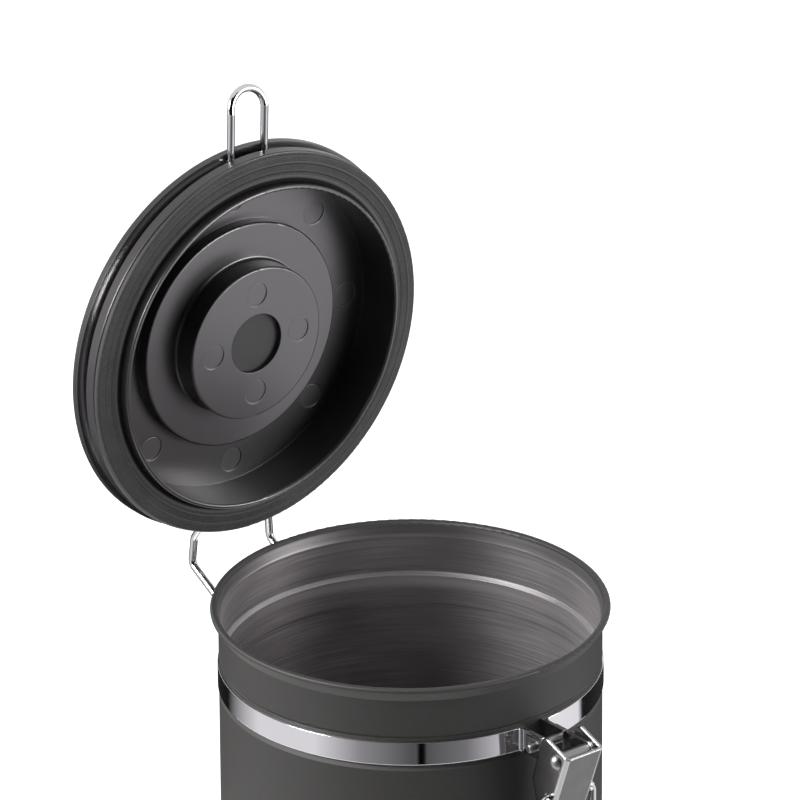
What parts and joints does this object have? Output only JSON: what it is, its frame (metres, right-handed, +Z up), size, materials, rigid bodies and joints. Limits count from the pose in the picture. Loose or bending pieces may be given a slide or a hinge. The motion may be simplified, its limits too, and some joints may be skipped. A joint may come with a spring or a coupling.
{
  "type": "coffee canister with valve",
  "caption": "Round steel coffee canister with a hinged black valve lid held by a wire, a clamp band round the neck and a toggle latch with a wire bail.",
  "frame": {"origin": "on the can's axis in the plane that it stands on", "axes": "+Z up along the can's axis, -Y towards the latch at the front, +Y towards the hinge at the back, +X to the right of someone who faces the latch"},
  "size_m": [0.13, 0.1798, 0.3139],
  "materials": {
    "can_paint": "matte",
    "can_steel": "brushed",
    "bright_steel": "polished",
    "chrome_wire": "polished",
    "lid_black": "satin",
    "gasket_rubber": "matte",
    "filter_cloth": "woven",
    "valve_plastic": "satin",
    "valve_rubber": "matte"
  },
  "bodies": {
    "can": {"can_shell": "can_paint", "can_base": "can_steel", "clamp_band": "bright_steel", "ear_pin": "bright_steel", "latch_yoke": "bright_steel", "lever_spacer": "bright_steel", "lever_rivet": "bright_steel", "hinge_plate": "bright_steel", "hinge_rivets": "bright_steel"},
    "link": {"hinge_link": "chrome_wire"},
    "lid": {"lid_wire": "chrome_wire", "lid_body": "lid_black", "lid_cover": "lid_black", "gasket": "gasket_rubber", "filter_disc": "filter_cloth", "valve_seat": "valve_plastic", "valve_cap": "valve_plastic"},
    "valve": {"valve_disc": "valve_rubber"},
    "lever": {"latch_lever": "bright_steel"},
    "bail": {"latch_bail": "chrome_wire"}
  },
  "joints": [
    {"name": "link_hinge", "type": "hinge", "parent": "can", "child": "link", "pos_m": [0, 0.06756, 0.13708], "axis": [-1, 0, 0], "range_deg": [-42.2, 0]},
    {"name": "lid_hinge", "type": "hinge", "parent": "link", "child": "lid", "pos_m": [0, 0.08435, 0.16879], "axis": [-1, 0, 0], "range_deg": [-45.6, 30]},
    {"name": "lever_hinge", "type": "hinge", "parent": "can", "child": "lever", "pos_m": [0, -0.0795, 0.142], "axis": [-1, 0, 0], "range_deg": [0, 110]},
    {"name": "bail_hinge", "type": "hinge", "parent": "lever", "child": "bail", "pos_m": [0, -0.07607, 0.12834], "axis": [-1, 0, 0], "range_deg": [-15, 98]},
    {"name": "valve_lift", "type": "slide", "parent": "lid", "child": "valve", "axis": [0, 0.9993, 0.0384], "range_m": [0, 0.0008], "stiffness_N_per_m": 60}
  ]
}
